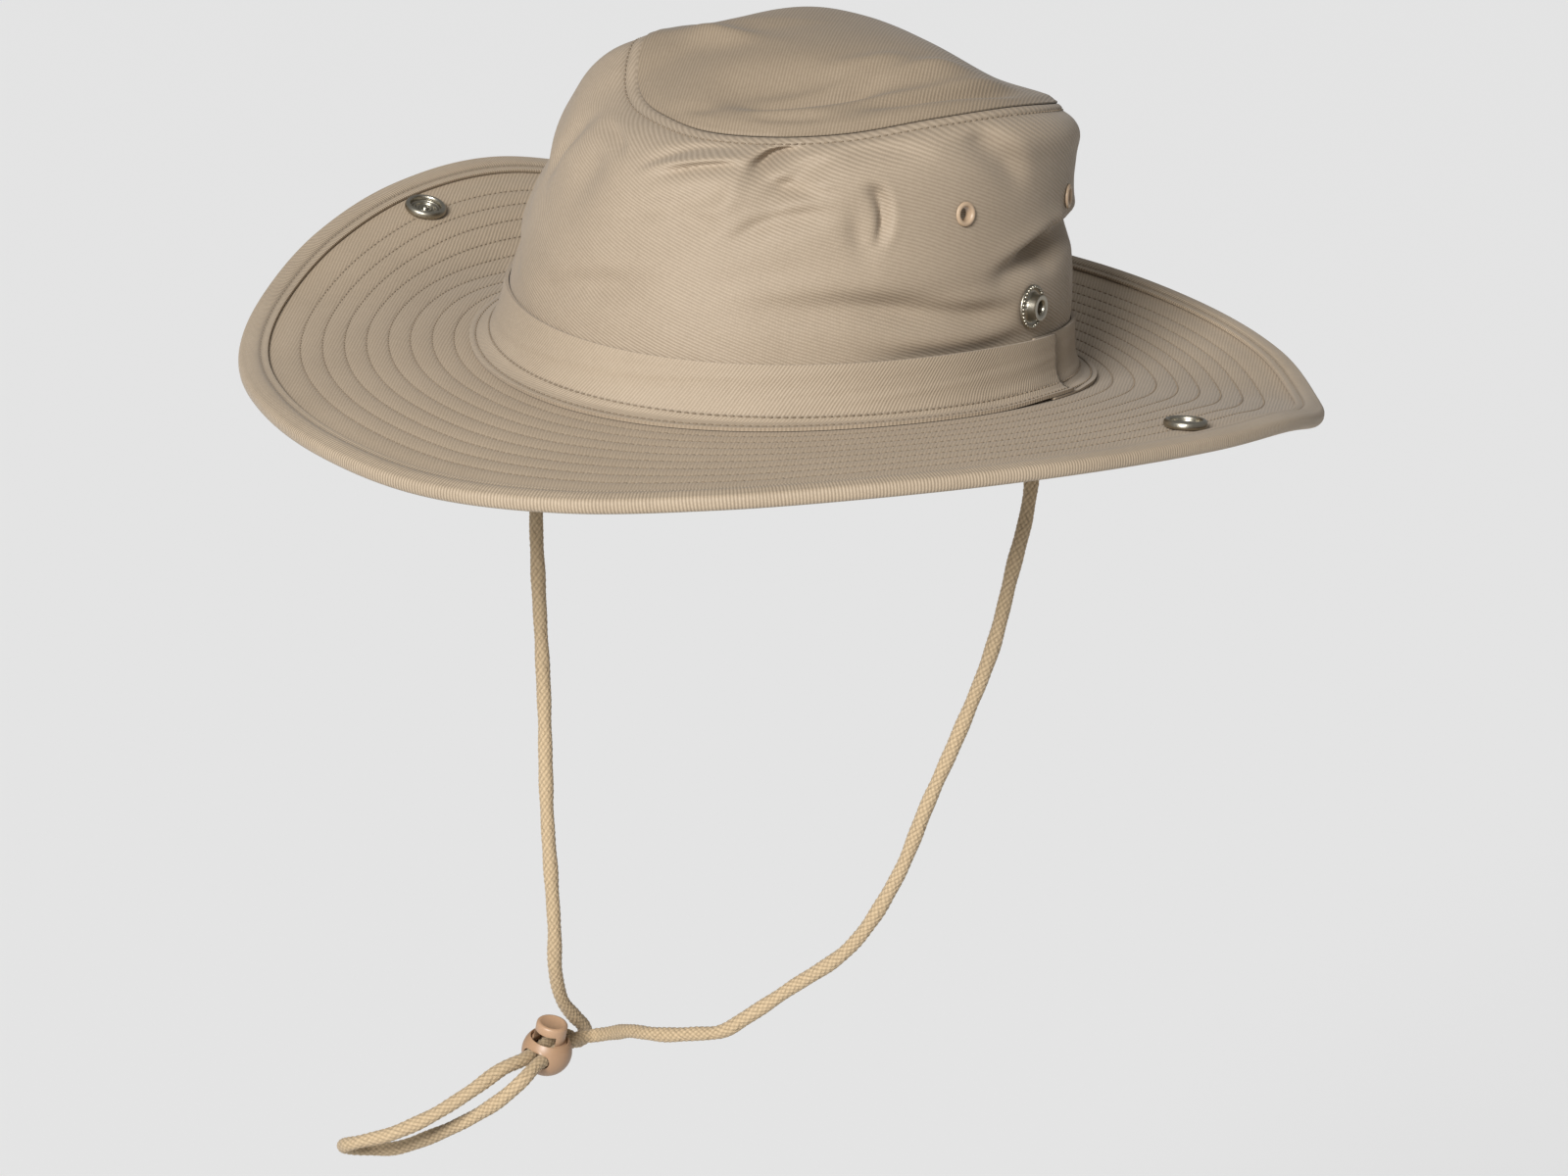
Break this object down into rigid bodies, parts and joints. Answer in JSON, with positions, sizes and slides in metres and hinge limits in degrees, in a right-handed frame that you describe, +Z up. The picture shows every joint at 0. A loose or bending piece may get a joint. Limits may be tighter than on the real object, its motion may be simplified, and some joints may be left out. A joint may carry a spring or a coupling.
{
  "type": "bush hat",
  "caption": "Soft cotton bush hat: creased crown with a sewn-in tip, cloth band, wide wavy stitched brim with side snaps, eyelets, and a hanging chin cord with a push-button stopper.",
  "frame": {"origin": "middle of the head opening, level with the lower edge of the band", "axes": "+Z up, -Y the front of the hat, +X the wearer's left"},
  "size_m": [0.3414, 0.3734, 0.412],
  "materials": {
    "crown_cloth": "khaki cotton drill",
    "tip_cloth": "khaki cotton drill",
    "brim_cloth": "khaki cotton drill, quilted in rows",
    "binding_cloth": "khaki cotton, cut on the bias",
    "band_cloth": "khaki cotton drill",
    "tab_tape": "woven cotton tape",
    "painted_brass": "beige paint, satin",
    "aged_nickel": "aged nickel plate",
    "cord_cotton": "braided cotton",
    "stopper_plastic": "satin moulded plastic",
    "button_plastic": "satin moulded plastic"
  },
  "bodies": {
    "hat": {"crown_side": "crown_cloth", "crown_tip": "tip_cloth", "brim": "brim_cloth", "brim_binding": "binding_cloth", "hat_band": "band_cloth", "cord_tab_left": "tab_tape", "cord_tab_right": "tab_tape", "eyelet_front_left": "painted_brass", "eyelet_back_left": "painted_brass", "eyelet_front_right": "painted_brass", "eyelet_back_right": "painted_brass", "crown_stud_left": "aged_nickel", "crown_stud_right": "aged_nickel", "brim_socket_left": "aged_nickel", "brim_socket_right": "aged_nickel", "chin_cord": "cord_cotton", "stopper_barrel": "stopper_plastic"},
    "plunger": {"stopper_plunger": "button_plastic"}
  },
  "joints": [
    {"name": "stopper_press", "type": "slide", "parent": "hat", "child": "plunger", "axis": [-0.1955, 0.1196, -0.9734], "range_m": [0, 0.002], "stiffness_N_per_m": 500, "springref_m": -0.003}
  ]
}
